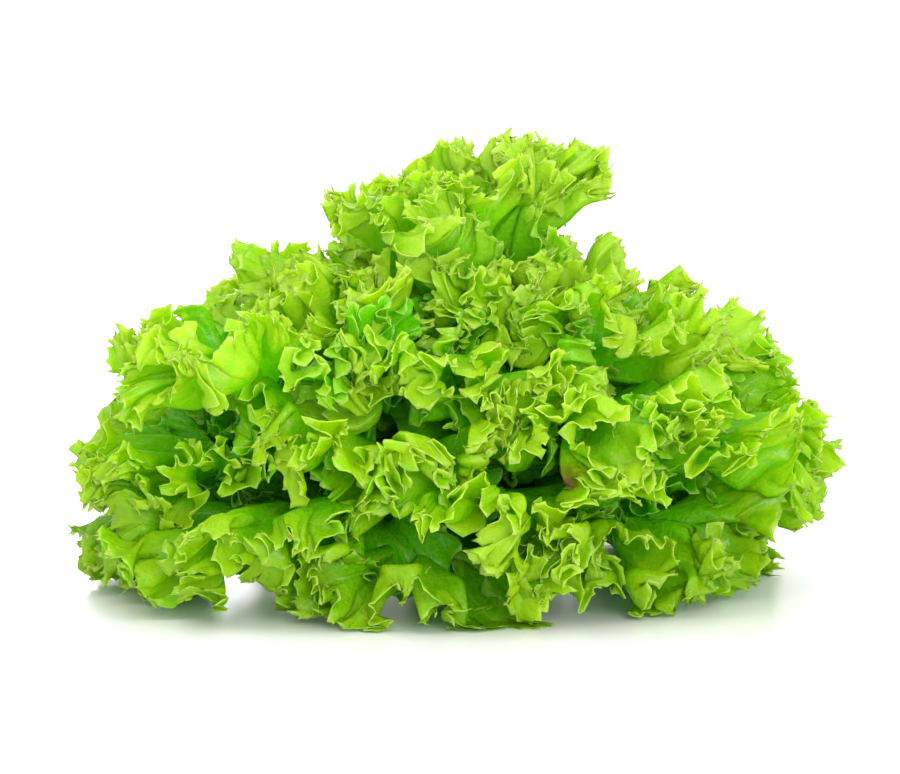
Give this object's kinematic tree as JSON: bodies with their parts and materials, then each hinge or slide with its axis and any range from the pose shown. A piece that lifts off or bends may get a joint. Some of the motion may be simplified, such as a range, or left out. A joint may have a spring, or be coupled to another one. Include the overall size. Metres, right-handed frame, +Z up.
{
  "type": "head of green lollo lettuce",
  "caption": "Head of green lollo lettuce: frilled leaves spiral out from a short cut stem and form a loose mound that stands on a table.",
  "frame": {"origin": "centre of the stem's cut face, on the surface that the head stands on", "axes": "+Z up through the heart, +X to the right along the widest spread, +Y away from the viewer"},
  "size_m": [0.2816, 0.2675, 0.1739],
  "materials": {
    "outer_leaf": "satin, waxy, lets light through",
    "middle_leaf": "satin, waxy, lets light through",
    "heart_leaf": "satin, waxy, lets light through",
    "stem": "moist, satin"
  },
  "bodies": {
    "root": {"stem": "stem", "outer_leaf_01": "outer_leaf", "outer_leaf_02": "outer_leaf", "outer_leaf_03": "outer_leaf", "outer_leaf_04": "outer_leaf", "outer_leaf_05": "outer_leaf", "outer_leaf_06": "outer_leaf", "outer_leaf_07": "outer_leaf", "outer_leaf_08": "outer_leaf", "outer_leaf_09": "outer_leaf", "outer_leaf_10": "outer_leaf", "outer_leaf_11": "outer_leaf", "outer_leaf_12": "outer_leaf", "outer_leaf_13": "outer_leaf", "outer_leaf_14": "outer_leaf", "outer_leaf_15": "outer_leaf", "outer_leaf_16": "outer_leaf", "middle_leaf_01": "middle_leaf", "middle_leaf_02": "middle_leaf", "middle_leaf_03": "middle_leaf", "middle_leaf_04": "middle_leaf", "middle_leaf_05": "middle_leaf", "middle_leaf_06": "middle_leaf", "middle_leaf_07": "middle_leaf", "middle_leaf_08": "middle_leaf", "middle_leaf_09": "middle_leaf", "middle_leaf_10": "middle_leaf", "middle_leaf_11": "middle_leaf", "middle_leaf_12": "middle_leaf", "middle_leaf_13": "middle_leaf", "middle_leaf_14": "middle_leaf", "middle_leaf_15": "middle_leaf", "middle_leaf_16": "middle_leaf", "heart_leaf_01": "heart_leaf", "heart_leaf_02": "heart_leaf", "heart_leaf_03": "heart_leaf", "heart_leaf_04": "heart_leaf", "heart_leaf_05": "heart_leaf", "heart_leaf_06": "heart_leaf", "heart_leaf_07": "heart_leaf", "heart_leaf_08": "heart_leaf", "heart_leaf_09": "heart_leaf", "heart_leaf_10": "heart_leaf", "heart_leaf_11": "heart_leaf", "heart_leaf_12": "heart_leaf"}
  },
  "joints": []
}
